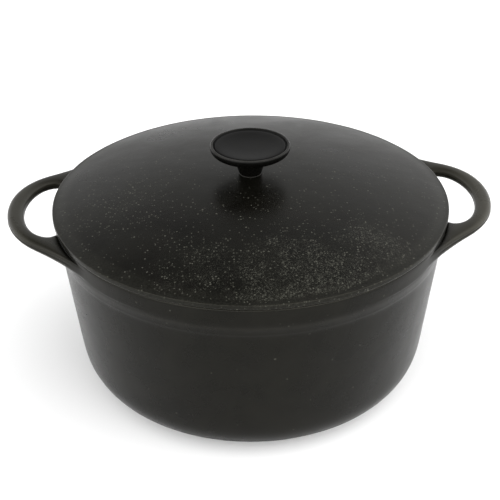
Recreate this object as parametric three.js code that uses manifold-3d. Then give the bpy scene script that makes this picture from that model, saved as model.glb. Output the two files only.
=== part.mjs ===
// A round cast iron casserole (dutch oven) with a domed lid.
// The pot is one casting: bowl, thick collar under the rim, and two flat loop handles.
// The lid is a second casting that drops onto the rim, with a locating skirt inside it.
// A moulded knob stands on the lid. A brass bush is moulded into its stem, and a
// pan-head screw with a lock washer and a flat washer holds it from below.
// Millimetres, +Z up. The origin is the middle of the base. The handles lie along X.
import * as THREE from "three";
import { mergeVertices } from "three/addons/utils/BufferGeometryUtils.js";
import Module from "manifold-3d";

// Pot: the outside of the bowl, as radii and heights.
const RIM_Z = 116.3;
const COLLAR_R = 124.3;
const COLLAR_FOOT_Z = 101.8;
const COLLAR_FOOT_R = 123.6;
const WALL_TOP_R = 122.2;
const WALL_TOP_Z = 100.2;
const WALL_LOW_R = 114.4;
const WALL_LOW_Z = 24;
const BASE_FLAT_R = 81.3;
const BASE_RECESS_R = 64;
const BASE_RECESS = 0.8;
// Pot: the inside of the bowl.
const WALL = 4.2;
const FLOOR = 5.5;
const INNER_CORNER_RISE = 2;
const RIM_BEVEL = 0.9;
const CORNER_PULL = 0.55;

// Loop handles: the plan of the one on +X, as points and the pulls of the curves between them.
const HANDLE_TIP = [154, 0];
const HANDLE_TIP_PULL = [0, 23];
const HANDLE_WAIST = [128, 48.3];
const HANDLE_WAIST_PULL = [15.5, -8.8];
const HANDLE_FLARE_PULL = [-9.5, 6.2];
const HANDLE_FOOT = [96.5, 77.2];
const HANDLE_FOOT_PULL = [7.5, -9.4];
const HANDLE_ROOT = [92, 74];
const GRIP_TIP = [143.3, 0];
const GRIP_TIP_PULL = [0, 16.5];
const GRIP_SIDE = [125.5, 35.2];
const GRIP_SIDE_PULL = [10.5, 0];
const GRIP_CORNER_PULL = [-3, 0];
const GRIP_ROOT = [118, 29];
const GRIP_ROOT_PULL = [1.5, 3];
const HANDLE_THICK = 7.2;
const HANDLE_EDGE = 2;
const HANDLE_ROUND = 3.4;
const HANDLE_ROUND_STEPS = 3;
const HANDLE_PIVOT_X = 125;
const HANDLE_MID_Z = 112.2;
const HANDLE_RISE_DEG = 5.2;

// Lid.
const LID_R = 125;
const LID_SEAT_Z = 116.5;
const DOME_EDGE_R = 124.2;
const DOME_EDGE_Z = 119.9;
const DOME_TOP_Z = 135.6;
const KNOB_PAD_R = 10;
const LID_WALL = 4;
const SKIRT_R = 118.4;
const SKIRT_IN_R = 114.6;
const SKIRT_Z = 112.6;
const SKIRT_DRAFT = 0.4;
const SKIRT_FILLET = [-2.4, 0.8];
const EDGE_BEVEL = 0.8;
const SCREW_HOLE_R = 3.5;

// Knob and its hardware. Neighbours keep a small gap.
const GAP = 0.05;
const SEAT_WASHER_R = 7.2;
const SEAT_WASHER_THICK = 0.5;
const KNOB_TOP_Z = 155.5;
const KNOB_R = 25;
const KNOB_FOOT_R = 7.1;
// The knob's waist, as points and pulls of one curve, and the lip that stands out from it.
const KNOB_WAIST = [8.3, 140];
const KNOB_WAIST_PULL = [9.6, 146];
const KNOB_DISC_PULL = [14.5, 148.8];
const KNOB_DISC_EDGE = [22.4, 150];
const KNOB_LIP_FOOT = [24.4, 151.5];
const KNOB_LIP_LOW = [25, 153];
// The knob's top, from its widest circle over the rim, down the groove and onto the dish.
const KNOB_WIDEST_DROP = 0.9;
const KNOB_RIM_IN = 1;
const KNOB_GROOVE_EDGE_IN = 2.6;
const KNOB_GROOVE_IN = 3.4;
const KNOB_GROOVE = 1.5;
const KNOB_DISH_IN = 4.1;
const KNOB_DISH_EDGE = 0.7;
const KNOB_DISH_HALF_R = 12;
const KNOB_DISH_HALF = 1.3;
const KNOB_DISH = 1.5;
const BUSH_R = 4.6;
const BUSH_LENGTH = 12;
const BUSH_CAP = 1;
const BUSH_GROOVE = 0.6;
const BUSH_GROOVE_SLOPE = 0.4;
const BUSH_GROOVE_LENGTH = 2.8;
const BUSH_BORE_R = 3.1;
const THREAD_R = 3;
const SCREW_REACH = 15;
const FLAT_WASHER_R = 8;
const FLAT_WASHER_THICK = 1.2;
const LOCK_WASHER_R = 5.6;
const LOCK_WASHER_THICK = 1.6;
const LOCK_WASHER_SLIT = 1;
const LOCK_WASHER_SLIT_LEAN = 0.5;
const WASHER_BORE_R = 3.3;
const HEAD_R = 5.9;
const HEAD_HEIGHT = 3.6;
const HEAD_FLAT_R = 3.9;
const HEAD_SHOULDER = [5.2, 0.6];
const HEAD_EDGE = 1;
const SCREW_TIP = 0.8;
const RECESS_DEPTH = 1.9;
const RECESS_SPAN = 6.4;
const RECESS_WIDTH = 1.2;

// How far the cut for the bowl's inside runs on above the rim.
const CUT_ABOVE = 20;

// Facets round a full turn.
const BODY_SIDES = 64;
const KNOB_SIDES = 32;
const SCREW_SIDES = 24;
// Straight steps along the bowl's corner, the dome, the knob's waist and the handle's curves.
const CORNER_STEPS = 7;
const DOME_STEPS = 8;
const WAIST_STEPS = 5;
const LOOP_STEPS = 8;

const wasm = await Module();
wasm.setup();

const enamel = new THREE.MeshStandardMaterial({ color: 0x242523, roughness: 0.5, metalness: 0.1 });
const phenolic = new THREE.MeshStandardMaterial({ color: 0x141414, roughness: 0.4, metalness: 0 });
const brass = new THREE.MeshStandardMaterial({ color: 0xa98a4a, roughness: 0.4, metalness: 1 });
const steel = new THREE.MeshStandardMaterial({ color: 0xb4b6b8, roughness: 0.35, metalness: 1 });

// A closed geometry as a manifold-3d solid, and back.
function solidOf(geometry) {
  const bare = geometry.index ? geometry.toNonIndexed() : geometry.clone();
  bare.deleteAttribute("normal");
  bare.deleteAttribute("uv");
  const welded = mergeVertices(bare, 1e-3);
  const vertProperties = new Float32Array(welded.attributes.position.array);
  const triVerts = new Uint32Array(welded.index.array);
  return new wasm.Manifold(new wasm.Mesh({ numProp: 3, vertProperties, triVerts }));
}

function geometryOf(solid) {
  const { vertProperties, triVerts } = solid.getMesh();
  const geometry = new THREE.BufferGeometry();
  geometry.setAttribute("position", new THREE.BufferAttribute(vertProperties, 3));
  geometry.setIndex(new THREE.BufferAttribute(triVerts, 1));
  return geometry;
}

// Points on a cubic curve from a to d, with handles b and c, as [radius, height] pairs.
function curvePoints(a, b, c, d, steps) {
  const v = [a, b, c, d].map(([x, y]) => new THREE.Vector2(x, y));
  return new THREE.CubicBezierCurve(...v).getPoints(steps).map((p) => [p.x, p.y]);
}

// Points from a to b, where each end is pulled by its own offset.
function pulledCurve(a, pullA, b, pullB) {
  const shifted = ([x, y], [dx, dy]) => [x + dx, y + dy];
  return curvePoints(a, shifted(a, pullA), shifted(b, pullB), b, LOOP_STEPS);
}

// A closed outline from its half with y above 0, whose first point lies on the X axis.
function mirroredLoop(half) {
  const other = half.slice(1).map(([x, y]) => [x, -y]);
  return [...half, ...other.reverse()].map(([x, y]) => new THREE.Vector2(x, y));
}

// A turned solid about +Z from [radius, height] pairs that run up its outside.
function turned(profile, sides) {
  const points = profile.map(([r, z]) => new THREE.Vector2(r, z));
  return new THREE.LatheGeometry(points, sides).rotateX(Math.PI / 2);
}

// A turned ring: the profile closes on itself.
function turnedRing(profile, sides) {
  return turned([...profile, profile[0]], sides);
}

function flatRing(innerR, outerR, lowZ, highZ, sides) {
  return turnedRing([[innerR, lowZ], [outerR, lowZ], [outerR, highZ], [innerR, highZ]], sides);
}

// The wall's lean: how far the radius grows for each millimetre of height.
const LEAN = (WALL_TOP_R - WALL_LOW_R) / (WALL_TOP_Z - WALL_LOW_Z);

// The rounded corner between the floor and the wall, for a bowl of this size.
function bowlCorner(flatR, flatZ, wallR, wallZ) {
  const rise = wallZ - flatZ;
  const wallPull = [wallR - LEAN * CORNER_PULL * rise, wallZ - CORNER_PULL * rise];
  const floorPull = [flatR + CORNER_PULL * (wallR - flatR), flatZ];
  return curvePoints([flatR, flatZ], floorPull, wallPull, [wallR, wallZ], CORNER_STEPS);
}

function bowlOutside() {
  return turned(
    [
      [0, BASE_RECESS],
      [BASE_RECESS_R, BASE_RECESS],
      [BASE_RECESS_R + 1, 0],
      ...bowlCorner(BASE_FLAT_R, 0, WALL_LOW_R, WALL_LOW_Z),
      [WALL_TOP_R, WALL_TOP_Z],
      [COLLAR_FOOT_R, COLLAR_FOOT_Z],
      [COLLAR_R, RIM_Z - RIM_BEVEL],
      [COLLAR_R - RIM_BEVEL, RIM_Z],
      [0, RIM_Z],
    ],
    BODY_SIDES,
  );
}

function bowlInside() {
  const innerLowR = WALL_LOW_R - WALL;
  const innerTopR = innerLowR + LEAN * (RIM_Z - RIM_BEVEL - WALL_LOW_Z);
  const above = RIM_Z + CUT_ABOVE;
  return turned(
    [
      [0, FLOOR],
      ...bowlCorner(BASE_FLAT_R - WALL, FLOOR, innerLowR, WALL_LOW_Z + INNER_CORNER_RISE),
      [innerTopR, RIM_Z - RIM_BEVEL],
      [innerTopR + RIM_BEVEL, RIM_Z],
      [innerTopR + RIM_BEVEL, above],
      [0, above],
    ],
    BODY_SIDES,
  );
}

// The handle's plan: a broad loop whose legs sweep back along the collar on both sides.
function handlePlan() {
  const outer = [
    ...pulledCurve(HANDLE_TIP, HANDLE_TIP_PULL, HANDLE_WAIST, HANDLE_WAIST_PULL),
    ...pulledCurve(HANDLE_WAIST, HANDLE_FLARE_PULL, HANDLE_FOOT, HANDLE_FOOT_PULL).slice(1),
    HANDLE_ROOT,
  ];
  const grip = [
    ...pulledCurve(GRIP_TIP, GRIP_TIP_PULL, GRIP_SIDE, GRIP_SIDE_PULL),
    ...pulledCurve(GRIP_SIDE, GRIP_CORNER_PULL, GRIP_ROOT, GRIP_ROOT_PULL).slice(1),
  ];
  const plan = new THREE.Shape(mirroredLoop(outer));
  plan.holes.push(new THREE.Path(mirroredLoop(grip)));
  return plan;
}

// The loop as a plate with rounded edges, rising a little towards its tip.
function handle(turn) {
  const bevelThickness = (HANDLE_THICK - HANDLE_EDGE) / 2;
  const plate = new THREE.ExtrudeGeometry(handlePlan(), {
    depth: HANDLE_EDGE,
    bevelThickness,
    bevelSize: HANDLE_ROUND,
    bevelOffset: -HANDLE_ROUND,
    bevelSegments: HANDLE_ROUND_STEPS,
  });
  plate.translate(-HANDLE_PIVOT_X, 0, -HANDLE_EDGE / 2);
  plate.rotateY(-THREE.MathUtils.degToRad(HANDLE_RISE_DEG));
  plate.translate(HANDLE_PIVOT_X, 0, HANDLE_MID_Z);
  plate.rotateZ(turn);
  return plate;
}

function pot() {
  const casting = solidOf(bowlOutside()).add(solidOf(handle(0))).add(solidOf(handle(Math.PI)));
  return geometryOf(casting.subtract(solidOf(bowlInside())));
}

// Height of the dome's upper face: a shallow ball cap between the knob pad and the lid's edge.
function domeHeight(r) {
  const drop = DOME_TOP_Z - DOME_EDGE_Z;
  const ballR = (DOME_EDGE_R ** 2 + drop ** 2) / (2 * drop);
  return DOME_TOP_Z - ballR + Math.sqrt(ballR ** 2 - r ** 2);
}

function lid() {
  const domeRadii = Array.from({ length: DOME_STEPS }, (_, i) =>
    THREE.MathUtils.lerp(KNOB_PAD_R, DOME_EDGE_R, (i + 1) / DOME_STEPS),
  );
  const padZ = domeHeight(KNOB_PAD_R);
  const top = [[KNOB_PAD_R, padZ], ...domeRadii.map((r) => [r, domeHeight(r)])];
  const under = top
    .slice(0, -1)
    .map(([r, z]) => [r, z - LID_WALL])
    .reverse();
  return turnedRing(
    [
      [SCREW_HOLE_R, padZ - LID_WALL],
      [SCREW_HOLE_R, padZ],
      ...top,
      [LID_R, DOME_EDGE_Z - EDGE_BEVEL],
      [LID_R, LID_SEAT_Z + EDGE_BEVEL],
      [LID_R - EDGE_BEVEL, LID_SEAT_Z],
      [SKIRT_R, LID_SEAT_Z],
      [SKIRT_R - SKIRT_DRAFT, SKIRT_Z],
      [SKIRT_IN_R + SKIRT_DRAFT, SKIRT_Z],
      [SKIRT_IN_R + SKIRT_FILLET[0], LID_SEAT_Z + SKIRT_FILLET[1]],
      ...under,
    ].reverse(),
    BODY_SIDES,
  );
}

const PAD_Z = domeHeight(KNOB_PAD_R);
const KNOB_FOOT_Z = PAD_Z + SEAT_WASHER_THICK + 2 * GAP;
const LID_UNDER_Z = PAD_Z - LID_WALL;
const FLAT_WASHER_Z = LID_UNDER_Z - GAP - FLAT_WASHER_THICK;
const LOCK_WASHER_Z = FLAT_WASHER_Z - GAP - LOCK_WASHER_THICK;
const HEAD_Z = LOCK_WASHER_Z - GAP;

function seatWasher() {
  const lowZ = PAD_Z + GAP;
  return flatRing(WASHER_BORE_R, SEAT_WASHER_R, lowZ, lowZ + SEAT_WASHER_THICK, KNOB_SIDES);
}

// The knob: a waisted stem under a dished disc with a raised rim.
function knob() {
  const socketR = BUSH_R + GAP;
  const socketTop = KNOB_FOOT_Z + BUSH_LENGTH + GAP;
  const waist = curvePoints(KNOB_WAIST, KNOB_WAIST_PULL, KNOB_DISC_PULL, KNOB_DISC_EDGE, WAIST_STEPS);
  return turned(
    [
      [0, socketTop],
      [socketR, socketTop],
      [socketR, KNOB_FOOT_Z],
      [KNOB_FOOT_R, KNOB_FOOT_Z],
      ...waist,
      KNOB_LIP_FOOT,
      KNOB_LIP_LOW,
      [KNOB_R, KNOB_TOP_Z - KNOB_WIDEST_DROP],
      [KNOB_R - KNOB_RIM_IN, KNOB_TOP_Z],
      [KNOB_R - KNOB_GROOVE_EDGE_IN, KNOB_TOP_Z],
      [KNOB_R - KNOB_GROOVE_IN, KNOB_TOP_Z - KNOB_GROOVE],
      [KNOB_R - KNOB_DISH_IN, KNOB_TOP_Z - KNOB_DISH_EDGE],
      [KNOB_DISH_HALF_R, KNOB_TOP_Z - KNOB_DISH_HALF],
      [0, KNOB_TOP_Z - KNOB_DISH],
    ],
    KNOB_SIDES,
  );
}

// The tapped brass bush: open below, blind above.
function knobInsert() {
  const top = KNOB_FOOT_Z + BUSH_LENGTH;
  const grooveLow = KNOB_FOOT_Z + (BUSH_LENGTH - BUSH_GROOVE_LENGTH) / 2;
  const grooveHigh = grooveLow + BUSH_GROOVE_LENGTH;
  return turned(
    [
      [0, top - BUSH_CAP],
      [BUSH_BORE_R, top - BUSH_CAP],
      [BUSH_BORE_R, KNOB_FOOT_Z],
      [BUSH_R, KNOB_FOOT_Z],
      [BUSH_R, grooveLow],
      [BUSH_R - BUSH_GROOVE, grooveLow + BUSH_GROOVE_SLOPE],
      [BUSH_R - BUSH_GROOVE, grooveHigh - BUSH_GROOVE_SLOPE],
      [BUSH_R, grooveHigh],
      [BUSH_R, top],
      [0, top],
    ],
    SCREW_SIDES,
  );
}

function flatWasher() {
  const topZ = FLAT_WASHER_Z + FLAT_WASHER_THICK;
  return flatRing(WASHER_BORE_R, FLAT_WASHER_R, FLAT_WASHER_Z, topZ, KNOB_SIDES);
}

// The lock washer is a ring cut through once.
function lockWasher() {
  const topZ = LOCK_WASHER_Z + LOCK_WASHER_THICK;
  const ring = flatRing(WASHER_BORE_R, LOCK_WASHER_R, LOCK_WASHER_Z, topZ, KNOB_SIDES);
  const slit = new THREE.BoxGeometry(LOCK_WASHER_R, LOCK_WASHER_SLIT, 2 * LOCK_WASHER_THICK);
  slit.rotateX(LOCK_WASHER_SLIT_LEAN);
  slit.translate(LOCK_WASHER_R, 0, LOCK_WASHER_Z + LOCK_WASHER_THICK / 2);
  return geometryOf(solidOf(ring).subtract(solidOf(slit)));
}

// The screw: a shank in the bush and a pan head with a cross recess below.
function knobScrew() {
  const tipZ = HEAD_Z + SCREW_REACH;
  const bottomZ = HEAD_Z - HEAD_HEIGHT;
  const blank = turned(
    [
      [0, bottomZ],
      [HEAD_FLAT_R, bottomZ],
      [HEAD_SHOULDER[0], bottomZ + HEAD_SHOULDER[1]],
      [HEAD_R, HEAD_Z - HEAD_EDGE],
      [HEAD_R, HEAD_Z],
      [THREAD_R, HEAD_Z],
      [THREAD_R, tipZ - SCREW_TIP],
      [THREAD_R - SCREW_TIP, tipZ],
      [0, tipZ],
    ],
    SCREW_SIDES,
  );
  const bar = new THREE.BoxGeometry(RECESS_SPAN, RECESS_WIDTH, 2 * RECESS_DEPTH);
  bar.translate(0, 0, bottomZ);
  const crossBar = bar.clone().rotateZ(Math.PI / 2);
  return geometryOf(solidOf(blank).subtract(solidOf(bar)).subtract(solidOf(crossBar)));
}

const group = new THREE.Group();
const knobGroup = new THREE.Group();

function place(parent, name, geometry, material) {
  const mesh = new THREE.Mesh(geometry, material);
  mesh.name = name;
  parent.add(mesh);
}

place(group, "pot", pot(), enamel);
place(group, "lid", lid(), enamel.clone());
place(knobGroup, "knob", knob(), phenolic);
place(knobGroup, "knob_insert", knobInsert(), brass);
place(knobGroup, "seat_washer", seatWasher(), steel);
place(knobGroup, "flat_washer", flatWasher(), steel.clone());
place(knobGroup, "lock_washer", lockWasher(), steel.clone());
place(knobGroup, "knob_screw", knobScrew(), steel.clone());
group.add(knobGroup);

export default group;
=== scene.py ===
"""A round cast iron casserole with a domed lid, two loop handles and a moulded knob.

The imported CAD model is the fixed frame. Each of its parts is replaced here by a finished piece
that stands in the same place: castings with soft fillets and a slightly uneven skin, a moulded
knob with a dished top, and the washers, screw and brass bush that hold it.
Profiles are in millimetres, as [radius, height] pairs; the meshes are in metres.
"""

import math

import bmesh
import bpy
import numpy as np
from mathutils import Matrix, Vector, noise


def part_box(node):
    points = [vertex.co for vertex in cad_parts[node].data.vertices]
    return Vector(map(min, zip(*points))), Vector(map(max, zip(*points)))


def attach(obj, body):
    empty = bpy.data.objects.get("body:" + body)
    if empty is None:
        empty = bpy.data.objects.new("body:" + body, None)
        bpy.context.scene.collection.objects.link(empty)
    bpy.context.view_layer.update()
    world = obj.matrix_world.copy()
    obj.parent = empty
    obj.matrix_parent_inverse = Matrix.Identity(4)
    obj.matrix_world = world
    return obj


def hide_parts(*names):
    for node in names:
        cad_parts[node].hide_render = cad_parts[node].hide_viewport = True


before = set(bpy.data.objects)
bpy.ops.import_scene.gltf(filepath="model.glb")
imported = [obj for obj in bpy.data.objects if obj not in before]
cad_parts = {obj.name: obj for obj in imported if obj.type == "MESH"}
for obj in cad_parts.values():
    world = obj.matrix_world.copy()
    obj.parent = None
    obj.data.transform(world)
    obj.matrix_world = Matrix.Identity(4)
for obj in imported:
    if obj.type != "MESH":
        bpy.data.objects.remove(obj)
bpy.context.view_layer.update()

MM = 0.001


def box_mm(node):
    """The lowest and highest corner of a CAD part, in millimetres."""
    low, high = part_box(node)
    return [c / MM for c in low], [c / MM for c in high]


LID_LOW, LID_HIGH = box_mm("lid")
KNOB_LOW, KNOB_HIGH = box_mm("knob")

# Heights and radii that the castings share, from the frame's boxes and a few clearances.
SKIRT_DROP = 3.7
SEAT_GAP = 0.2
LID_OVERHANG = 0.75
RIM_Z = LID_LOW[2] + SKIRT_DROP
LID_SEAT_Z = RIM_Z + SEAT_GAP
LID_R = LID_HIGH[0]
COLLAR_R = LID_R - LID_OVERHANG
PAD_Z = LID_HIGH[2]

# How often a turned profile is halved, and the radius below which a point counts as on the axis.
PROFILE_ROUNDS = 2
ON_AXIS = 1e-6
# Sides of the turned pieces.
LID_SIDES, KNOB_SIDES, BUSH_SIDES, WASHER_SIDES, SCREW_SIDES = 256, 160, 128, 96, 64

# The pot's cage: columns round a full turn, and how often the cage is halved.
COLUMNS = 96
COLUMN_TURN = 2 * math.pi / COLUMNS
CAGE_LEVELS = 2
# A cage of straight columns draws in by this much when it is rounded.
CAGE_SWELL = 3 / (2 + math.cos(COLUMN_TURN))

# The pot's foot is ground flat up to this height in metres.
GROUND_FLAT = 0.0006

# The handle's lift towards its tip, about the line where it leaves the collar.
HANDLE_MID_Z = RIM_Z - 4.1
HANDLE_PIVOT_X = LID_R
HANDLE_SLOPE = math.tan(math.radians(5.2))
HANDLE_HALF_THICK = 3.55


# ---------------------------------------------------------------- mesh making


def piece_of(name, points, faces, material, smooth=True):
    """A new mesh piece from points in millimetres."""
    mesh = bpy.data.meshes.new(name)
    mesh.from_pydata([[c * MM for c in p] for p in points], [], faces)
    mesh.validate()
    piece = bpy.data.objects.new(name, mesh)
    bpy.context.scene.collection.objects.link(piece)
    face_outwards(mesh)
    mesh.polygons.foreach_set("use_smooth", [smooth] * len(mesh.polygons))
    mesh.materials.append(material)
    return piece


def face_outwards(mesh):
    shell = bmesh.new()
    shell.from_mesh(mesh)
    bmesh.ops.recalc_face_normals(shell, faces=shell.faces)
    shell.to_mesh(mesh)
    shell.free()


def softened(profile, closed, rounds):
    """A profile whose corners are drawn round by halving its steps, with both ends held if open."""
    line = np.array(profile, float)
    for _ in range(rounds):
        after = np.roll(line, -1, axis=0)
        before = np.roll(line, 1, axis=0)
        kept = (before + 6 * line + after) / 8
        middles = (line + after) / 2
        if not closed:
            kept[0], kept[-1] = line[0], line[-1]
        line = np.stack([kept, middles], axis=1).reshape(-1, 2)
        if not closed:
            line = line[:-1]
    return line


def turned(name, profile, sides, material, closed=False, shape=None):
    """A turned piece. An open profile starts and ends on the axis. shape moves each point."""
    line = softened(profile, closed, PROFILE_ROUNDS)
    points, faces, rows = [], [], []
    for r, z in line:
        if r < ON_AXIS:
            rows.append([len(points)])
            points.append((0, 0, z))
            continue
        rows.append(range(len(points), len(points) + sides))
        for k in range(sides):
            turn = 2 * math.pi * k / sides
            radius, height = shape(r, turn, z) if shape else (r, z)
            points.append((radius * math.cos(turn), radius * math.sin(turn), height))
    pairs = list(zip(rows, rows[1:]))
    if closed:
        pairs.append((rows[-1], rows[0]))
    for low, high in pairs:
        for k in range(sides):
            n = (k + 1) % sides
            if len(low) == 1:
                faces.append((low[0], high[n], high[k]))
            elif len(high) == 1:
                faces.append((low[k], low[n], high[0]))
            else:
                faces.append((low[k], low[n], high[n], high[k]))
    return piece_of(name, points, faces, material)


def settle_modifiers(piece):
    """Keeps what the piece's modifiers make of it as its plain mesh."""
    view = bpy.context.evaluated_depsgraph_get()
    before = piece.data
    piece.data = bpy.data.meshes.new_from_object(piece.evaluated_get(view))
    piece.modifiers.clear()
    bpy.data.meshes.remove(before)


def skin_of(piece):
    """A piece's points and outward normals, as arrays in metres."""
    mesh = piece.data
    places = np.zeros(len(mesh.vertices) * 3, np.float32)
    mesh.vertices.foreach_get("co", places)
    normals = np.zeros(len(mesh.vertices) * 3, np.float32)
    mesh.vertex_normals.foreach_get("vector", normals)
    return places.reshape(-1, 3), normals.reshape(-1, 3)


def push_skin(piece, places, normals, depths):
    """Moves each point along its normal by its own depth in metres."""
    moved = places + normals * np.asarray(depths, np.float32)[:, None]
    piece.data.vertices.foreach_set("co", moved.astype(np.float32).ravel())
    piece.data.update()


# Smaller swells ride on the large ones of a cast skin: their share of the depth and of the size.
SMALL_SWELL_DEPTH, SMALL_SWELL_SIZE = 0.45, 0.38


def cast_skin(piece, depth, size, shift):
    """Sand casting leaves a slightly uneven skin: swells of this depth and size in millimetres.

    The foot is ground flat, so the swells fade out just above the floor.
    """
    places, normals = skin_of(piece)
    offset = Vector(shift)

    def swell(place):
        large = noise.noise(Vector(place) / (size * MM) + offset)
        small = noise.noise(Vector(place) / (size * SMALL_SWELL_SIZE * MM) - offset)
        fade = min(1, max(0, place[2] - GROUND_FLAT) / GROUND_FLAT)
        return fade * depth * MM * (large + SMALL_SWELL_DEPTH * small)

    push_skin(piece, places, normals, [swell(place) for place in places])


def bezier(a, b, c, d, t):
    s = 1 - t
    a, b, c, d = (np.array(point) for point in (a, b, c, d))
    return s**3 * a + 3 * s * s * t * b + 3 * s * t * t * c + t**3 * d


def corner(flat, wall, lean, steps, pull):
    """The rounded corner of the bowl, from the end of a flat to the foot of a leaning wall."""
    rise = wall[1] - flat[1]
    floor_pull = (flat[0] + pull * (wall[0] - flat[0]), flat[1])
    wall_pull = (wall[0] - lean * pull * rise, wall[1] - pull * rise)
    return [tuple(bezier(flat, floor_pull, wall_pull, wall, (i + 1) / steps)) for i in range(steps)]


# ---------------------------------------------------------------- the pot

# The wall's lean, as run over rise, and the feet of its outer and inner face.
LEAN = 0.1024
WALL_LOW = (114.4, 24.0)
INNER_LOW = (110.2, 26.0)
# Where the outer corner leaves the standing ring, and how far its curve reaches along each side.
FOOT_EDGE, FOOT_PULL = (83.2, 0), 0.63
FLOOR_THICK = 5.5
FLOOR_EDGE, FLOOR_PULL = (77.1, FLOOR_THICK), 0.55


def wall_at(low, z):
    return (low[0] + LEAN * (z - low[1]), z)


def pot_rows():
    """The cage rows, and the number of the first row of the collar.

    They run from the middle of the underside, up the outside, over the rim, to the middle of the floor.
    """
    hollow = [(r, 0.8) for r in (0, 24, 46, 61.5)]
    ring = [(63.9, 0.75), (65, 0.08), (66.6, 0), (74, 0), (80.5, 0)]
    under = hollow + ring
    outside = corner(FOOT_EDGE, WALL_LOW, LEAN, 7, FOOT_PULL)
    outside += [wall_at(WALL_LOW, z) for z in (37, 51, 65, 79, 90.5, 96.8)]
    ledge = [
        (COLLAR_R - 1.98, RIM_Z - 18.4),
        (COLLAR_R - 1.75, RIM_Z - 17.0),
        (COLLAR_R - 1.42, RIM_Z - 15.5),
        (COLLAR_R - 1.06, RIM_Z - 14.0),
        (COLLAR_R - 0.74, RIM_Z - 12.5),
        (COLLAR_R - 0.5, RIM_Z - 10.9),
    ]
    collar = [(COLLAR_R - 0.38, RIM_Z - 8.9), (COLLAR_R - 0.26, RIM_Z - 5.4), (COLLAR_R - 0.1, RIM_Z - 2.1)]
    rim = [
        (COLLAR_R - 0.04, RIM_Z - 0.95),
        (COLLAR_R - 0.4, RIM_Z - 0.28),
        (COLLAR_R - 1.1, RIM_Z - 0.02),
        (COLLAR_R - 3.0, RIM_Z + 0.02),
        (120.45, RIM_Z - 0.15),
        (119.8, RIM_Z - 0.9),
        (119.4, RIM_Z - 3.2),
    ]
    inside = [wall_at(INNER_LOW, z) for z in (104, 88, 70, 52, 36)]
    inner_corner = corner(FLOOR_EDGE, INNER_LOW, LEAN, 6, FLOOR_PULL)[::-1]
    floor = [(r, FLOOR_THICK) for r in (76, 58, 38, 18, 0)]
    foot_row = len(under) + len(outside) + len(ledge)
    return under + outside + ledge + collar + rim + inside + inner_corner + floor, foot_row


# The handle's plan on +X and +Y: the curves of its outer and inner edge, from the tip to the root.
HANDLE_OUTER = [
    [(154, 0), (154, 23), (143.5, 39.5), (128, 48.3)],
    [(128, 48.3), (118.5, 54.5), (104, 67.8), (96.5, 77.2)],
]
HANDLE_INNER = [
    [(143.3, 0), (143.3, 16.5), (136, 35.2), (125.5, 35.2)],
    [(125.5, 35.2), (122.5, 35.2), (119.5, 32), (118, 29)],
]
# Where the cross-sections stand along those edges: whole numbers count the curves.
STATIONS = [
    (0, 0),
    (0.17, 0.17),
    (0.34, 0.34),
    (0.51, 0.5),
    (0.68, 0.66),
    (0.84, 0.8),
    (1.0, 0.93),
    (1.22, 1.06),
    (1.44, 1.24),
    (1.62, 1.4),
    (1.76, 1.52),
]
# How far a section has turned from a rounded bar into the even grid of the collar.
SPREAD = [0, 0, 0, 0, 0, 0, 0, 0.15, 0.35, 0.6, 0.85]
# The columns of the collar that a leg covers, the outermost points of a bar's flats, and how far each
# point of its top stands up, as a share of half its thickness.
LEG_OUTER_COLUMN, LEG_INNER_COLUMN = 10, 4
BAR_EDGES = (0.45, 2.3)
BAR_CROWN = (0.6, 0.93, 1.01, 1.04, 1.01, 0.93, 0.6)
# The collar's rows bend to meet the legs: their heights about the handle's middle, how far below the
# rim they must stay, and the angle from the handle's middle over which the bend fades, in degrees.
LEG_ROWS = (-3.5, 0.0, 3.2)
LEG_BELOW_RIM = 1.15
LEG_BEND_FULL, LEG_BEND_FADE = 46, 18


def handle_mid(x):
    """Height of the handle's middle plane."""
    return HANDLE_MID_Z + (abs(x) - HANDLE_PIVOT_X) * HANDLE_SLOPE


def edge_point(curves, where):
    index = min(int(where), len(curves) - 1)
    return bezier(*curves[index], where - index)


def bar_section(station, side):
    """Sixteen points round the bar: outer middle, along the top to the hole's side, and back below."""
    outer = edge_point(HANDLE_OUTER, STATIONS[station][0])
    inner = edge_point(HANDLE_INNER, STATIONS[station][1])
    width = float(np.linalg.norm(outer - inner))
    spread = SPREAD[station]
    near, next_in = BAR_EDGES[0] / width, BAR_EDGES[1] / width
    across = [near, next_in, 0.33, 0.5, 0.67, 1 - next_in, 1 - near]
    across = [u + spread * (i / 6 - u) for i, u in enumerate(across)]
    crown = [v + spread * (1 - v) for v in BAR_CROWN]
    ends = [(math.hypot(*p), math.atan2(p[1], p[0])) for p in (outer, inner)]

    def place(u, v):
        radius = ends[0][0] + u * (ends[1][0] - ends[0][0])
        turn = ends[0][1] + u * (ends[1][1] - ends[0][1])
        x, y = radius * math.cos(turn), radius * math.sin(turn)
        return (x, side * y, handle_mid(x) + v * HANDLE_HALF_THICK)

    top = [place(u, v) for u, v in zip(across, crown)]
    bottom = [place(u, -v) for u, v in zip(across, crown)]
    return [place(0, 0), *top, place(1, 0), *bottom[::-1]]


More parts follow.
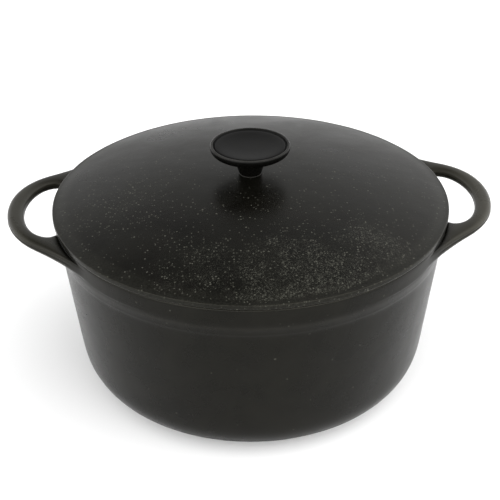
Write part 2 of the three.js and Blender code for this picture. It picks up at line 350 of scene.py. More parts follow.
def pot_cage():
    """The pot as one coarse mesh: the turned bowl, with each handle's two legs joined into its collar."""
    rows, foot_row = pot_rows()
    points, faces, ring = [], [], []
    for i, (r, z) in enumerate(rows):
        if r == 0:
            ring.append([len(points)] * COLUMNS)
            points.append((0, 0, z))
            continue
        ring.append(list(range(len(points), len(points) + COLUMNS)))
        for k in range(COLUMNS):
            turn = k * COLUMN_TURN
            radius = r * CAGE_SWELL
            height = z
            if 0 <= i - foot_row < len(LEG_ROWS):
                x = radius * math.cos(turn)
                wanted = min(handle_mid(x) + LEG_ROWS[i - foot_row], RIM_Z - LEG_BELOW_RIM)
                off_handle = abs(math.degrees(math.asin(math.sin(turn))))
                near = 1 - np.clip((off_handle - LEG_BEND_FULL) / LEG_BEND_FADE, 0, 1)
                height = z + near * (wanted - z)
            points.append((radius * math.cos(turn), radius * math.sin(turn), height))

    open_cells = set()
    for turn in (0, COLUMNS // 2):
        for side in (1, -1):
            for k in range(LEG_INNER_COLUMN, LEG_OUTER_COLUMN):
                column = turn + (k if side == 1 else -k - 1)
                open_cells.update({(foot_row, column % COLUMNS), (foot_row + 1, column % COLUMNS)})
    for i in range(len(rows) - 1):
        for k in range(COLUMNS):
            n = (k + 1) % COLUMNS
            if (i, k) in open_cells:
                continue
            corners = [ring[i][k], ring[i][n], ring[i + 1][n], ring[i + 1][k]]
            faces.append(tuple(dict.fromkeys(corners)))

    def leg_foot(turn, side):
        """The sixteen cage points of the collar round one leg's opening, in the bar section's order."""
        columns = [
            (turn + side * k) % COLUMNS for k in range(LEG_OUTER_COLUMN, LEG_INNER_COLUMN - 1, -1)
        ]
        low, mid, high = ring[foot_row], ring[foot_row + 1], ring[foot_row + 2]
        top = [high[k] for k in columns]
        bottom = [low[k] for k in columns]
        return [mid[columns[0]], *top, mid[columns[-1]], *bottom[::-1]]

    for turn, way in ((0, 1), (COLUMNS // 2, -1)):
        loops = [leg_foot(turn, 1)]
        order = [(s, 1) for s in range(len(STATIONS) - 1, 0, -1)]
        order += [(s, -1) for s in range(len(STATIONS))]
        for station, side in order:
            start = len(points)
            points.extend((way * x, way * y, z) for x, y, z in bar_section(station, side))
            loops.append(list(range(start, start + 16)))
        loops.append(leg_foot(turn, -1))
        for a, b in zip(loops, loops[1:]):
            for j in range(16):
                n = (j + 1) % 16
                faces.append((a[j], a[n], b[n], b[j]))
    return points, faces


GROOVE_DEPTH, GROOVE_WIDE = 0.2, 0.4
LIP_HEIGHT, LIP_WIDE, LIP_BELOW = 0.16, 0.6, 1.1
# The parting line fades in over this stretch outside the collar, and stays off faces that look up or
# down. It runs on the side that faces away from the middle of the handle's hole.
SEAM_START, SEAM_FADE, SEAM_STEEP = 1.2, 2.5, 0.8
HOLE_MIDDLE_X = 124


def parting_line(piece):
    """The mould's two halves meet round the handle's edge: a fine groove with a proud lower lip."""
    places, normals = skin_of(piece)
    x, y, z = (places / MM).T
    above = z - (HANDLE_MID_Z + (np.abs(x) - HANDLE_PIVOT_X) * HANDLE_SLOPE)
    on_bar = np.clip((np.hypot(x, y) - COLLAR_R - SEAM_START) / SEAM_FADE, 0, 1)
    on_bar *= np.abs(normals[:, 2]) < SEAM_STEEP
    outward = np.sign(x) * normals[:, 0] * (np.abs(x) - HOLE_MIDDLE_X) + normals[:, 1] * y
    on_bar *= outward > 0
    groove = np.exp(-((above / GROOVE_WIDE) ** 2))
    lip = np.exp(-(((above + LIP_BELOW) / LIP_WIDE) ** 2))
    push_skin(piece, places, normals, on_bar * (-GROOVE_DEPTH * groove + LIP_HEIGHT * lip) * MM)


# Where the pip stands, how far it stands up, and how wide it is.
PIP_PLACE = (-7.6, -(COLLAR_R - 0.2), RIM_Z - 14.4)
PIP_HEIGHT, PIP_WIDE = 0.45, 1.1


def gate_nub(piece):
    """A small pip left on the collar's lower edge where the casting was broken off its feed."""
    places, normals = skin_of(piece)
    gap = np.linalg.norm(places - np.array(PIP_PLACE) * MM, axis=1) / MM
    push_skin(piece, places, normals, PIP_HEIGHT * MM * np.exp(-((gap / PIP_WIDE) ** 2)))


def make_pot(material):
    points, faces = pot_cage()
    pot = piece_of("pot_casting", points, faces, material)
    pot.modifiers.new("rounding", "SUBSURF").levels = CAGE_LEVELS
    settle_modifiers(pot)
    cast_skin(pot, depth=0.11, size=21, shift=(3.1, 7.7, 1.3))
    parting_line(pot)
    gate_nub(pot)
    return pot


# ---------------------------------------------------------------- the lid

LID_WALL = 4.0
DOME_EDGE_R = LID_R - 0.8
DOME_EDGE_Z = LID_SEAT_Z + 3.4
DOME_DROP = PAD_Z + 0.1 - DOME_EDGE_Z
DOME_BALL = (DOME_EDGE_R**2 + DOME_DROP**2) / (2 * DOME_DROP)


def dome_height(r):
    """Height of the dome's face at this radius: a shallow ball cap."""
    return DOME_EDGE_Z + DOME_DROP - DOME_BALL + math.sqrt(DOME_BALL**2 - r * r)


def make_lid(material):
    """One closed section, turned: up the screw hole, over the dome, round the skirt, and back."""
    under = [(r, dome_height(r) - LID_WALL) for r in (108, 98, 85, 70, 55, 40, 27)]
    profile = [
        (3.6, PAD_Z - LID_WALL + 0.3),
        (3.5, PAD_Z - 2),
        (3.6, PAD_Z - 0.35),
        (4.1, PAD_Z + 0.03),
        (6.5, PAD_Z + 0.03),
        (9.0, dome_height(9) + 0.02),
        *[(r, dome_height(r)) for r in (14, 24, 38, 54, 70, 85, 98, 108, 115)],
        (119, dome_height(119) - 0.04),
        (121.4, dome_height(121.4) - 0.1),
        (LID_R - 1.9, DOME_EDGE_Z + 0.2),
        (LID_R - 0.9, DOME_EDGE_Z + 0.06),
        (LID_R - 0.35, DOME_EDGE_Z - 0.06),
        (LID_R - 0.08, DOME_EDGE_Z - 0.32),
        (LID_R, DOME_EDGE_Z - 0.8),
        (LID_R, LID_SEAT_Z + 1.2),
        (LID_R - 0.04, LID_SEAT_Z + 0.65),
        (LID_R - 0.4, LID_SEAT_Z + 0.22),
        (LID_R - 1.1, LID_SEAT_Z),
        (LID_R - 3, LID_SEAT_Z),
        (119.2, LID_SEAT_Z),
        (118.5, LID_SEAT_Z - 0.3),
        (118.3, LID_SEAT_Z - 1.2),
        (118.15, LID_LOW[2] + 0.7),
        (117.7, LID_LOW[2] + 0.05),
        (116.6, LID_LOW[2]),
        (115.4, LID_LOW[2] + 0.05),
        (114.7, LID_LOW[2] + 0.8),
        (113.9, LID_SEAT_Z - 1.2),
        (112.2, LID_SEAT_Z + 0.7),
        *under,
        (19, PAD_Z - LID_WALL - 0.55),
        (15, PAD_Z - LID_WALL - 0.75),
        (12, PAD_Z - LID_WALL - 0.02),
        (8, PAD_Z - LID_WALL),
        (4.2, PAD_Z - LID_WALL),
    ]
    lid = turned("lid_casting", profile, LID_SIDES, material, closed=True)
    cast_skin(lid, depth=0.09, size=24, shift=(11.2, 0.4, 5.9))
    return lid


# ---------------------------------------------------------------- the knob and its hardware


def make_knob(material):
    low, high = KNOB_LOW[2], KNOB_HIGH[2]
    bush_low, bush_high = box_mm("knob_insert")
    socket = bush_high[0] + 0.05
    r = KNOB_HIGH[0]
    profile = [
        (0, bush_high[2] + 0.05),
        (socket - 0.5, bush_high[2] + 0.05),
        (socket, bush_high[2] - 0.4),
        (socket, low + 4),
        (socket, low + 0.25),
        (socket + 0.3, low + 0.02),
        (6.5, low),
        (7.0, low + 0.1),
        (7.2, low + 0.5),
        (7.5, low + 1.6),
        (8.1, low + 3.4),
        (8.75, low + 5.8),
        (9.6, low + 9.1),
        (11.2, low + 11.2),
        (14, low + 12.4),
        (18.5, low + 13.3),
        (22, high - 5.6),
        (r - 1.5, high - 4.8),
        (r - 0.6, high - 3.8),
        (r - 0.12, high - 2.7),
        (r, high - 1.8),
        (r - 0.02, high - 1.0),
        (r - 0.18, high - 0.45),
        (r - 0.5, high - 0.12),
        (r - 0.95, high),
        (r - 1.4, high - 0.02),
        (r - 1.75, high - 0.2),
        (r - 2.0, high - 0.7),
        (r - 2.2, high - 1.25),
        (r - 2.5, high - 1.45),
        (r - 2.8, high - 1.15),
        (r - 3.1, high - 0.76),
        (r - 3.7, high - 0.64),
        (r - 6, high - 0.72),
        (15.5, high - 1.0),
        (11, high - 1.27),
        (6, high - 1.45),
        (0, high - 1.5),
    ]
    return turned("knob_moulding", profile, KNOB_SIDES, material)


def make_bush(material):
    """The brass bush: a straight knurl with a plain waist, bored and closed above."""
    (_, _, low), (r, _, high) = box_mm("knob_insert")
    bore = 3.1
    ridges, ridge_depth = 16, 0.22
    half_waist, plain_end = 1.4, 0.5

    def knurl(radius, turn, z):
        plain = radius < r - plain_end or abs(z - (low + high) / 2) < half_waist
        plain = plain or z > high - plain_end or z < low + plain_end
        return (radius if plain else radius - ridge_depth * abs(math.sin(ridges * turn)), z)

    profile = [
        (0, high - 1), (bore - 0.3, high - 1), (bore, high - 1.3), (bore, low + 4), (bore, low + 0.5),
        (bore + 0.35, low), (r - 0.3, low), (r, low + 0.3), (r, low + 2), (r, low + 4.4),
        (r - 0.6, low + 4.8), (r - 0.6, high - 4.8), (r, high - 4.4), (r, high - 2), (r, high - 0.3),
        (r - 0.3, high), (0, high),
    ]  # fmt: skip
    return turned("brass_bush", profile, BUSH_SIDES, material, shape=knurl)


WASHER_BORE, WASHER_CUP = 3.3, 0.04
# A washer is cut this much smaller than its CAD part, with edges rolled by this share of its thickness.
WASHER_CUT, WASHER_ROLL = 0.2, 0.28


def make_washer(name, node, bore, material, cup=0.0):
    """A flat washer with stamped edges: the upper one rolled a little, the lower one sharper."""
    (_, _, low), (r, _, high) = box_mm(node)
    r -= WASHER_CUT
    edge = WASHER_ROLL * (high - low)
    profile = [
        (bore, low + edge), (bore, high - edge), (bore + edge, high), ((bore + r) / 2, high - cup),
        (r - 1.4 * edge, high), (r, high - 1.2 * edge), (r, low + 0.5 * edge), (r - 0.5 * edge, low),
        ((bore + r) / 2, low), (bore + edge, low),
    ]  # fmt: skip
    return turned(name, profile, WASHER_SIDES, material, closed=True)


def make_lock_washer(material):
    """A split spring washer: a square bar bent round, with a gap and a slight pitch."""
    (_, _, low), (r, _, high) = box_mm("lock_washer")
    inner, slit, steps = 3.3, math.radians(11), 72
    middle, half_wide = (inner + r) / 2, (r - inner) / 2
    pitch = 0.14
    half_high = (high - low) / 2 - pitch / 2
    corner_ease = 0.16
    side = 1 - corner_ease
    outline = [
        (side, 1), (1, side), (1, -side), (side, -1), (-side, -1), (-1, -side), (-1, side), (-side, 1),
    ]  # fmt: skip
    points, faces = [], []
    for i in range(steps):
        share = i / (steps - 1)
        turn = slit / 2 + share * (2 * math.pi - slit)
        lift = (low + high) / 2 + pitch * (share - 0.5)
        for a, b in outline:
            radius = middle + a * half_wide
            points.append((radius * math.cos(turn), radius * math.sin(turn), lift + b * half_high))
    count = len(outline)
    for i in range(steps - 1):
        for j in range(count):
            n = (j + 1) % count
            faces.append((i * count + j, i * count + n, (i + 1) * count + n, (i + 1) * count + j))
    faces += [tuple(range(count)), tuple(range((steps - 1) * count, steps * count))]
    return piece_of("spring_washer", points, faces, material, smooth=False)


def make_screw(material):
    """The pan-head screw, head down, with a rolled thread and a cross recess."""
    (_, _, low), (head_r, _, high) = box_mm("knob_screw")
    shank_z = low + 3.6
    crest, root, pitch = 3.0, 2.5, 1.0
    thread_z, run_in, run_out = shank_z + 1.2, 0.8, 0.6
    tip_r, tip_flat = 1.5, 0.2

    def thread(radius, turn, z):
        if z < thread_z or radius < tip_r or z > high - tip_flat:
            return radius, z
        phase = (z / pitch + turn / (2 * math.pi)) % 1
        tooth = 1 - abs(2 * phase - 1)
        fade = min(1, (z - thread_z) / run_in, (high - z) / run_out)
        return radius - fade * (crest - root) * (1 - tooth), z

    shank = [(crest, z) for z in np.arange(shank_z + 1.0, high - 0.7, 0.5)]
    profile = [
        (0, low), (2.6, low + 0.04), (4.3, low + 0.35), (5.3, low + 1.0), (head_r - 0.08, low + 2),
        (head_r, low + 2.8), (head_r - 0.06, shank_z - 0.2), (head_r - 0.3, shank_z), (4.4, shank_z),
        (crest + 0.25, shank_z), (crest, shank_z + 0.25), *shank, (crest - 0.1, high - 0.6),
        (2.3, high - 0.05), (0, high),
    ]  # fmt: skip
    screw = turned("pan_head_screw", profile, SCREW_SIDES, material, shape=thread)
    cutter = cross_driver(low, material)
    cut = screw.modifiers.new("recess", "BOOLEAN")
    cut.object, cut.operation, cut.solver = cutter, "DIFFERENCE", "EXACT"
    settle_modifiers(screw)
    bpy.data.objects.remove(cutter)
    return screw


def cross_driver(low, material):
    """The tip of a cross driver: four wings that taper inwards."""
    span, width, depth = 3.2, 0.62, 1.9
    wide_end, narrow_end, start_below = 1.1, 0.5, 0.6
    outline = [
        (span, -width), (span, width), (width, width), (width, span), (-width, span), (-width, width),
        (-span, width), (-span, -width), (-width, -width), (-width, -span), (width, -span), (width, -width),
    ]  # fmt: skip
    points = [(x * wide_end, y * wide_end, low - start_below) for x, y in outline]
    points += [(x * narrow_end, y * narrow_end, low + depth) for x, y in outline]
    count = len(outline)
    faces = [tuple(range(count)), tuple(range(count, 2 * count))]
    faces += [(i, (i + 1) % count, count + (i + 1) % count, count + i) for i in range(count)]
    return piece_of("driver_tip", points, faces, material, smooth=False)


# ---------------------------------------------------------------- materials


def put(tree, kind, values=None, **settings):
    """Adds a node. Values go on its sockets; a value that is itself a socket is linked."""
    made = tree.nodes.new(kind)
    for key, value in settings.items():
        setattr(made, key, value)
    for key, value in (values or {}).items():
        if isinstance(value, bpy.types.NodeSocket):
            tree.links.new(value, made.inputs[key])
        else:
            made.inputs[key].default_value = value
    return made


def maths(tree, operation, *values):
    return put(tree, "ShaderNodeMath", dict(enumerate(values)), operation=operation).outputs[0]


def times(tree, a, b):
    return maths(tree, "MULTIPLY", a, b)


def times_plus(tree, a, b, c):
    """a times b, plus c."""
    return maths(tree, "MULTIPLY_ADD", a, b, c)


def hypotenuse(tree, a, b):
    return maths(tree, "SQRT", times_plus(tree, a, a, times(tree, b, b)))


def ramp(tree, value, start, end, low=0.0, high=1.0):
    """Eases from low to high as value goes from start to end."""
    values = {"Value": value, "From Min": start, "From Max": end, "To Min": low, "To Max": high}
    return put(tree, "ShaderNodeMapRange", values, interpolation_type="SMOOTHSTEP").outputs[0]


def tint(tree, share, a, b):
    """The colour a, turned into b by a share."""
    return put(tree, "ShaderNodeMix", {0: share, 6: a, 7: b}, data_type="RGBA").outputs[2]


def cloud(tree, place, scale, detail, roughness=0.5, distortion=0.0):
    """A soft noise: its value and its colour."""
    values = {"Vector": place, "Scale": scale, "Detail": detail}
    values.update({"Roughness": roughness, "Distortion": distortion})
    return put(tree, "ShaderNodeTexNoise", values).outputs


def new_effect(name, inputs, outputs):
    """A shader group with named inputs, each with a starting value, and named outputs."""
    tree = bpy.data.node_groups.new(name, "ShaderNodeTree")
    for label, start in inputs:
        kind = "NodeSocketVector" if start is None else "NodeSocketFloat"
        socket = tree.interface.new_socket(label, in_out="INPUT", socket_type=kind)
        if start is not None:
            socket.default_value = start
    for label in outputs:
        tree.interface.new_socket(label, in_out="OUTPUT", socket_type="NodeSocketFloat")
    return tree, tree.nodes.new("NodeGroupInput").outputs, tree.nodes.new("NodeGroupOutput").inputs


def make_cast_grain():
    """The skin of a casting under thin enamel: broad ripple, sandy grain, and slow changes of tone."""
    inputs = [("Place", None), ("Ripple Scale", 120.0), ("Grain Scale", 900.0), ("Grain Share", 0.4)]
    tree, given, result = new_effect("cast grain", inputs, ["Height", "Tone"])
    place = given["Place"]
    ripple = cloud(tree, place, given["Ripple Scale"], 2.0)[0]
    grain = cloud(tree, place, given["Grain Scale"], 3.0, 0.6)[0]
    slow = cloud(tree, place, 26.0, 5.0, 0.62, 0.6)[0]
    mixed = times_plus(tree, maths(tree, "SUBTRACT", grain, ripple), given["Grain Share"], ripple)
    tree.links.new(mixed, result["Height"])
    tree.links.new(ramp(tree, slow, 0.3, 0.7), result["Tone"])
    return tree


def make_pale_specks():
    """Round pale specks in the enamel. Cover is the share of places that carry one."""
    inputs = [("Place", None), ("Speck Scale", 500.0), ("Cover", 0.2), ("Size", 0.35)]
    tree, given, result = new_effect("pale specks", inputs, ["Mask"])
    wobble = cloud(tree, given["Place"], 900.0, 1.0)[1]
    reach = (0.0007, 0.0007, 0.0007)
    shaken = put(tree, "ShaderNodeVectorMath", {0: wobble, 1: reach}, operation="MULTIPLY").outputs[0]
    place = put(tree, "ShaderNodeVectorMath", {0: given["Place"], 1: shaken}, operation="ADD").outputs[0]
    cells = put(tree, "ShaderNodeTexVoronoi", {"Vector": place, "Scale": given["Speck Scale"]})
    present_draw, size_draw, strength_draw = put(
        tree, "ShaderNodeSeparateColor", {0: cells.outputs["Color"]}
    ).outputs
    present = maths(tree, "LESS_THAN", present_draw, given["Cover"])
    size = times(tree, given["Size"], ramp(tree, size_draw, 0.0, 1.0, 0.55, 1.2))
    dot = ramp(tree, maths(tree, "DIVIDE", cells.outputs["Distance"], size), 0.55, 1.05, 1.0, 0.0)
    strength = ramp(tree, strength_draw, 0.0, 1.0, 0.35, 1.0)
    tree.links.new(times(tree, times(tree, dot, present), strength), result["Mask"])
    return tree


def make_edge_wear_and_highlight():
    """Wear and painted highlight along a turned edge: strongest on the circle of this radius and height,
    broken up by grain.
    """
    inputs = [("Place", None), ("Radius", 0.1), ("Height", 0.1), ("Reach", 0.001), ("Patchiness", 0.5)]
    tree, given, result = new_effect("edge wear and highlight", inputs, ["Mask"])
    x, y, z = put(tree, "ShaderNodeSeparateXYZ", {0: given["Place"]}).outputs
    off_radius = maths(tree, "SUBTRACT", hypotenuse(tree, x, y), given["Radius"])
    off_height = maths(tree, "SUBTRACT", z, given["Height"])
    gap = hypotenuse(tree, off_radius, off_height)
    core = ramp(tree, maths(tree, "DIVIDE", gap, given["Reach"]), 0.2, 1.0, 1.0, 0.0)
    broken = ramp(tree, cloud(tree, given["Place"], 60.0, 6.0, 0.7)[0], 0.32, 0.62)
    keep = times_plus(tree, maths(tree, "SUBTRACT", broken, 1.0), given["Patchiness"], 1.0)
    tree.links.new(times(tree, core, keep), result["Mask"])
    return tree


CAST_GRAIN = make_cast_grain()
PALE_SPECKS = make_pale_specks()
EDGE_WEAR_AND_HIGHLIGHT = make_edge_wear_and_highlight()


def apply_effect(tree, effect, place, **values):
    """Places an effect. The words of its input names are joined with underscores here."""
    named = {key.replace("_", " ").title(): value for key, value in values.items()}
    return put(tree, "ShaderNodeGroup", {"Place": place, **named}, node_tree=effect).outputs


def new_material(name):
    """A material with its shader, and the place on the piece in metres."""
    material = bpy.data.materials.new(name)
    material.use_nodes = True
    tree = material.node_tree
    shader = tree.nodes["Principled BSDF"]
    place = put(tree, "ShaderNodeTexCoord").outputs["Object"]
    return material, tree, shader, place


def distance_from(tree, place, centre):
    values = {0: place, 1: [c * MM for c in centre]}
    return put(tree, "ShaderNodeVectorMath", values, operation="DISTANCE").outputs["Value"]


def finish_with(tree, shader, colour, roughness, height, depth, strength):
    """Feeds the shader: colour, roughness, and a bump of this height pattern and depth in metres."""
    tree.links.new(colour, shader.inputs["Base Color"])
    tree.links.new(roughness, shader.inputs["Roughness"])
    bump = put(tree, "ShaderNodeBump", {"Height": height, "Distance": depth, "Strength": strength})
    tree.links.new(bump.outputs[0], shader.inputs["Normal"])


ENAMEL_DARK = (0.0016, 0.0015, 0.0011, 1)
ENAMEL_LIGHT = (0.0034, 0.0032, 0.0023, 1)
ENAMEL_GLOSS = 0.12
ENAMEL_GLOSS_TINT = (1.0, 0.98, 0.88, 1)
# Light grey for rubbed wear on the pot's rim and collar edge, and painted light on the handles and the
# lid's brim edge.
WEAR_AND_PAINTED_LIGHT_GREY = (0.085, 0.080, 0.062, 1)
SPECK_OLIVE = (0.052, 0.052, 0.042, 1)
# Black painted as shade along the pot's parting-line groove.
SEAM_PAINTED_SHADE = (0.001, 0.001, 0.001, 1)
PHENOLIC_DARK = (0.0012, 0.0012, 0.0010, 1)
PHENOLIC_LIGHT = (0.0022, 0.0021, 0.0018, 1)
# The light tint painted along the knob's rim as a highlight.
PHENOLIC_RIM_HIGHLIGHT = (0.04, 0.039, 0.036, 1)
PHENOLIC_GLOSS = 0.04
FIBRE_DARK = (0.006, 0.006, 0.005, 1)
FIBRE_LIGHT = (0.014, 0.013, 0.011, 1)
FIBRE_GLOSS = 0.15

# Where the lid's specks crowd: the middle of each crowd in millimetres, the distances in metres at
# which it is at its fullest and at which it has gone, and how full it gets.
SPECK_CROWDS = [
    ((24, -112, 122), 0.018, 0.066, 1.0),
    ((66, -80, 124), 0.010, 0.044, 0.7),
    ((-30, -98, 122), 0.010, 0.050, 0.6),
    ((-80, -22, 128), 0.010, 0.050, 0.4),
]
CROWD_COVER, STRAY_COVER = 0.62, 0.12


def lid_enamel():
    """Satin black enamel on the lid, with pale specks that crowd and run together near its front edge."""
    material, tree, shader, place = new_material("lid_black_enamel")
    grain = apply_effect(tree, CAST_GRAIN, place, ripple_scale=160.0, grain_scale=1100.0, grain_share=0.35)
    x, y, _ = put(tree, "ShaderNodeSeparateXYZ", {0: place}).outputs
    radius = hypotenuse(tree, x, y)

    crowd = 0.0
    for centre, full, gone, most in SPECK_CROWDS:
        here = ramp(tree, distance_from(tree, place, centre), full, gone, most, 0.0)
        crowd = maths(tree, "MAXIMUM", crowd, here)
    crowd = times(tree, crowd, ramp(tree, radius, 0.1195, 0.1235, 1.0, 0.15))
    drift = cloud(tree, place, 70.0, 2.0)[0]
    broken = times(tree, crowd, ramp(tree, drift, 0.3, 0.58, 0.4, 1.0))
    cover = times_plus(tree, broken, CROWD_COVER, STRAY_COVER)
    specks = apply_effect(tree, PALE_SPECKS, place, speck_scale=720.0, cover=cover, size=0.42)["Mask"]
    veins = cloud(tree, place, 430.0, 1.5, 0.5, 1.4)[0]
    off_vein = maths(tree, "ABSOLUTE", maths(tree, "SUBTRACT", veins, 0.5))
    run_together = ramp(tree, times(tree, crowd, drift), 0.12, 0.5, 0.0, 0.75)
    squiggles = times(tree, ramp(tree, off_vein, 0.006, 0.026, 1.0, 0.0), run_together)
    marks = maths(tree, "MAXIMUM", specks, squiggles)

    grit = ramp(tree, cloud(tree, place, 700.0, 3.0, 0.7)[0], 0.35, 0.62, 0.25, 1.0)
    outer_band = times(tree, ramp(tree, radius, 0.1135, 0.119), grit)
    edge_radius, edge_height = (LID_R - 0.25) * MM, (DOME_EDGE_Z - 0.1) * MM
    edge = apply_effect(
        tree, EDGE_WEAR_AND_HIGHLIGHT, place, radius=edge_radius, height=edge_height, reach=0.0007, patchiness=0.8
    )["Mask"]
    enamel = tint(tree, grain["Tone"], ENAMEL_DARK, ENAMEL_LIGHT)
    colour = tint(tree, marks, enamel, SPECK_OLIVE)
    colour = tint(tree, times(tree, outer_band, 0.1), colour, SPECK_OLIVE)
    # A light grey tint on the brim's top edge: a painted highlight line, with a little edge wear.
    colour = tint(tree, times(tree, edge, 0.06), colour, WEAR_AND_PAINTED_LIGHT_GREY)
    rough = times_plus(tree, marks, 0.12, times_plus(tree, grain["Tone"], 0.07, 0.27))
    height = times_plus(tree, marks, 0.25, grain["Height"])
    finish_with(tree, shader, colour, rough, height, 0.00012, 0.6)
    shader.inputs["Specular IOR Level"].default_value = ENAMEL_GLOSS
    shader.inputs["Specular Tint"].default_value = ENAMEL_GLOSS_TINT
    return material


def pot_enamel():
    """Satin black enamel on the pot, with painted shade along the parting line, a rubbed rim and rubbed
    collar edge, and painted light on the handles.
    """
    material, tree, shader, place = new_material("pot_black_enamel")
    grain = apply_effect(tree, CAST_GRAIN, place, ripple_scale=130.0, grain_scale=900.0, grain_share=0.3)
    specks = apply_effect(tree, PALE_SPECKS, place, speck_scale=420.0, cover=0.03, size=0.3)["Mask"]
    rim_radius, rim_height = (COLLAR_R - 0.2) * MM, (RIM_Z - 0.2) * MM
    rim = apply_effect(
        tree, EDGE_WEAR_AND_HIGHLIGHT, place, radius=rim_radius, height=rim_height, reach=0.0008, patchiness=0.6
    )["Mask"]
    ledge_radius, ledge_height = COLLAR_R * MM, (RIM_Z - 13.6) * MM
    ledge = apply_effect(
        tree, EDGE_WEAR_AND_HIGHLIGHT, place, radius=ledge_radius, height=ledge_height, reach=0.0022, patchiness=0.8
    )["Mask"]

    x, y, z = put(tree, "ShaderNodeSeparateXYZ", {0: place}).outputs
    middle_at_centre = (HANDLE_MID_Z - HANDLE_PIVOT_X * HANDLE_SLOPE) * MM
    middle = times_plus(tree, maths(tree, "ABSOLUTE", x), HANDLE_SLOPE, middle_at_centre)
    from_seam = maths(tree, "ABSOLUTE", maths(tree, "SUBTRACT", z, middle))
    radius = hypotenuse(tree, x, y)
    on_bar = ramp(tree, radius, (COLLAR_R + 1) * MM, (COLLAR_R + 3) * MM)
    # Along the parting line: painted shade in the colour, and a rougher finish.
    seam = times(tree, ramp(tree, from_seam, 0.0001, 0.00045, 1.0, 0.0), on_bar)

    enamel = tint(tree, grain["Tone"], ENAMEL_DARK, ENAMEL_LIGHT)
    colour = tint(tree, times(tree, specks, 0.5), enamel, SPECK_OLIVE)
    # Painted light on the handles: a light tint that starts just beyond the collar, grows towards the tips,
    # and is stronger on the right-hand handle, which faces the brighter side of the light tent.
    leg_painted_light = ramp(tree, radius, (COLLAR_R + 0.5) * MM, (COLLAR_R + 5) * MM, 0.0, 0.1)
    tip_painted_light = ramp(tree, radius, (COLLAR_R + 14) * MM, (COLLAR_R + 24) * MM, 0.0, 0.1)
    handle_painted_light = maths(tree, "ADD", leg_painted_light, tip_painted_light)
    handle_painted_light = times_plus(tree, ramp(tree, x, 0.1, 0.15), times(tree, on_bar, 0.12), handle_painted_light)
    rubbed = times_plus(tree, ledge, 0.05, times(tree, rim, 0.15))
    # Rubbed wear on the rim and collar edge, and painted light on the handles, as one light grey tint.
    colour = tint(tree, maths(tree, "ADD", rubbed, handle_painted_light), colour, WEAR_AND_PAINTED_LIGHT_GREY)
    # Painted shade: a black line along the parting-line groove.
    colour = tint(tree, seam, colour, SEAM_PAINTED_SHADE)
    rough = times_plus(tree, grain["Tone"], 0.07, 0.25)
    rough = maths(tree, "ADD", rough, ramp(tree, z, 0.004, 0.014, 0.5, 0.0))
    rough = times_plus(tree, seam, 0.4, rough)
    finish_with(tree, shader, colour, rough, grain["Height"], 0.0001, 0.5)
    shader.inputs["Specular IOR Level"].default_value = ENAMEL_GLOSS
    shader.inputs["Specular Tint"].default_value = ENAMEL_GLOSS_TINT
    return material


def knob_phenolic():
    """Black phenolic, moulded: even, softly shining, smoother on its rim where hands polish it, with a
    painted highlight along that rim.
    """
    material, tree, shader, place = new_material("knob_black_phenolic")
    grain = apply_effect(tree, CAST_GRAIN, place, ripple_scale=260.0, grain_scale=2600.0, grain_share=0.5)
    rim_radius, rim_height = (KNOB_HIGH[0] - 0.8) * MM, KNOB_HIGH[2] * MM
    rim = apply_effect(
        tree, EDGE_WEAR_AND_HIGHLIGHT, place, radius=rim_radius, height=rim_height, reach=0.0013, patchiness=0.5
    )["Mask"]
    colour = tint(tree, grain["Tone"], PHENOLIC_DARK, PHENOLIC_LIGHT)
    # Painted highlight: a light tint along the rim's top edge.
    colour = tint(tree, times(tree, rim, 0.6), colour, PHENOLIC_RIM_HIGHLIGHT)
    rough = times_plus(tree, rim, -0.08, times_plus(tree, grain["Tone"], 0.05, 0.22))
    finish_with(tree, shader, colour, rough, grain["Height"], 0.000008, 0.5)
    shader.inputs["Specular IOR Level"].default_value = PHENOLIC_GLOSS
    return material


def metal(name, dull, bright, roughness, grain_scale):
    """A bare metal with turning or plating grain, duller in slow patches."""
    material, tree, shader, place = new_material(name)
    grain = apply_effect(
        tree, CAST_GRAIN, place, ripple_scale=400.0, grain_scale=grain_scale, grain_share=0.7
    )
    stains = apply_effect(tree, PALE_SPECKS, place, speck_scale=1400.0, cover=0.18, size=0.4)["Mask"]
    stained = [c * 0.45 for c in dull[:3]] + [1]
    colour = tint(tree, grain["Tone"], dull, bright)
    colour = tint(tree, times(tree, stains, 0.5), colour, stained)
    rough = times_plus(tree, grain["Tone"], -0.12, roughness + 0.08)
    rough = times_plus(tree, stains, 0.2, rough)
    finish_with(tree, shader, colour, rough, grain["Height"], 0.00003, 0.5)
    shader.inputs["Metallic"].default_value = 1.0
    return material


def plated_steel():
    return metal("zinc_plated_steel", (0.42, 0.43, 0.44, 1), (0.62, 0.62, 0.61, 1), 0.32, 3200.0)


def turned_brass():
    return metal("turned_brass", (0.48, 0.34, 0.14, 1), (0.72, 0.54, 0.26, 1), 0.3, 2600.0)


def dark_fibre():
    """The seat disc under the knob: dark, dull, with a little shine on its edge."""
    material, tree, shader, place = new_material("blackened_seat_disc")
    grain = apply_effect(tree, CAST_GRAIN, place, ripple_scale=300.0, grain_scale=2400.0, grain_share=0.6)
    colour = tint(tree, grain["Tone"], FIBRE_DARK, FIBRE_LIGHT)
    rough = times_plus(tree, grain["Tone"], 0.1, 0.3)
    finish_with(tree, shader, colour, rough, grain["Height"], 0.00005, 0.5)
    shader.inputs["Specular IOR Level"].default_value = FIBRE_GLOSS
    return material


# ---------------------------------------------------------------- studio


FLOOR_HALF = 20.0
FLOOR_DULL, FLOOR_BRIGHT = (0.92, 0.92, 0.92, 1), (0.94, 0.94, 0.94, 1)


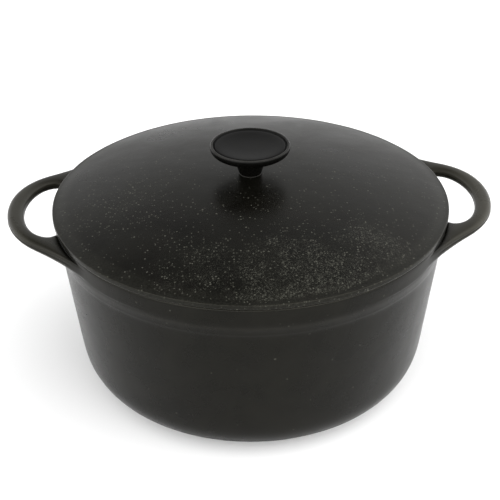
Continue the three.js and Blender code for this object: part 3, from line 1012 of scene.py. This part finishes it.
def make_floor():
    mesh = bpy.data.meshes.new("studio_floor")
    corners = [(FLOOR_HALF * x, FLOOR_HALF * y, 0) for x, y in ((-1, -1), (1, -1), (1, 1), (-1, 1))]
    mesh.from_pydata(corners, [], [(0, 1, 2, 3)])
    floor = bpy.data.objects.new("studio_floor", mesh)
    bpy.context.scene.collection.objects.link(floor)
    material, tree, shader, place = new_material("pale_floor")
    tone = cloud(tree, place, 3.0, 2.0)[0]
    tree.links.new(tint(tree, tone, FLOOR_DULL, FLOOR_BRIGHT), shader.inputs["Base Color"])
    shader.inputs["Roughness"].default_value = 0.8
    shader.inputs["Specular IOR Level"].default_value = 0.0
    mesh.materials.append(material)


DIMMEST, BRIGHTEST = 0.15, 4.5
SOFTBOX_ANGLE = math.radians(70)
SOFTBOXES = [("right_softbox", 1, 0.85), ("left_softbox", -1, 0.75)]


def light_tent():
    """White surroundings, brighter low in front and to the sides, and a broad soft light on either side."""
    world = bpy.data.worlds.new("light_tent")
    bpy.context.scene.world = world
    world.use_nodes = True
    tree = world.node_tree
    way = put(tree, "ShaderNodeTexCoord").outputs["Generated"]
    x, y, z = put(tree, "ShaderNodeSeparateXYZ", {0: way}).outputs
    level = maths(tree, "ADD", ramp(tree, z, 0.42, 0.76, 0.97, 0.57), ramp(tree, z, 0.93, 0.995, 0.0, 0.6))
    front = times(tree, ramp(tree, y, -0.2, -0.8, 0.0, 3.4), ramp(tree, z, 0.2, 0.6, 1.0, 0.0))
    dimmer_above = ramp(tree, z, 0.76, 0.88, 0.0, -0.24)
    level = maths(tree, "ADD", maths(tree, "ADD", level, front), dimmer_above)
    level = times_plus(tree, ramp(tree, z, 0.2, 0.95, 0.05, 1.2), x, level)
    sides = times(tree, times(tree, x, x), ramp(tree, z, 0.62, 0.85, 2.0, 0.3))
    level = maths(tree, "MINIMUM", maths(tree, "ADD", level, sides), BRIGHTEST)
    background = tree.nodes["Background"]
    tree.links.new(maths(tree, "MAXIMUM", level, DIMMEST), background.inputs["Strength"])
    background.inputs["Color"].default_value = (1.0, 1.0, 1.0, 1)
    for name, side, strength in SOFTBOXES:
        lamp = bpy.data.lights.new(name, "SUN")
        lamp.energy, lamp.angle = strength, SOFTBOX_ANGLE
        softbox = bpy.data.objects.new(name, lamp)
        softbox.rotation_euler = Vector((side * 0.62, -0.36, 0.7)).to_track_quat("Z", "Y").to_euler()
        bpy.context.scene.collection.objects.link(softbox)


CAMERA_PLACE = (-0.02973, -0.57117, 0.42682)
CAMERA_TURN, CAMERA_DOWN, CAMERA_ROLL = -2.9185, 31.335, -0.493
LENS_MM, SENSOR_MM = 73.19, 36


def make_camera():
    lens = bpy.data.cameras.new("camera")
    lens.lens, lens.sensor_width = LENS_MM, SENSOR_MM
    lens.clip_start, lens.clip_end = 0.01, 100
    camera = bpy.data.objects.new("camera", lens)
    turn = Matrix.Rotation(math.radians(CAMERA_TURN), 4, "Z")
    tilt = Matrix.Rotation(math.radians(90 - CAMERA_DOWN), 4, "X")
    roll = Matrix.Rotation(math.radians(CAMERA_ROLL), 4, "Z")
    camera.matrix_world = Matrix.Translation(CAMERA_PLACE) @ turn @ tilt @ roll
    bpy.context.scene.collection.objects.link(camera)
    bpy.context.scene.camera = camera


def finish_piece(piece, body, node):
    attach(piece, body)
    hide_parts(node)


make_camera()
make_floor()
light_tent()
bpy.context.scene.view_settings.view_transform = "Standard"

steel = plated_steel()
finish_piece(make_pot(pot_enamel()), "pot", "pot")
finish_piece(make_lid(lid_enamel()), "lid", "lid")
finish_piece(make_knob(knob_phenolic()), "lid", "knob")
finish_piece(make_bush(turned_brass()), "lid", "knob_insert")
seat_disc = make_washer("seat_disc", "seat_washer", WASHER_BORE, dark_fibre())
finish_piece(seat_disc, "lid", "seat_washer")
backing_washer = make_washer("backing_washer", "flat_washer", WASHER_BORE, steel, WASHER_CUP)
finish_piece(backing_washer, "lid", "flat_washer")
finish_piece(make_lock_washer(steel), "lid", "lock_washer")
finish_piece(make_screw(steel), "lid", "knob_screw")
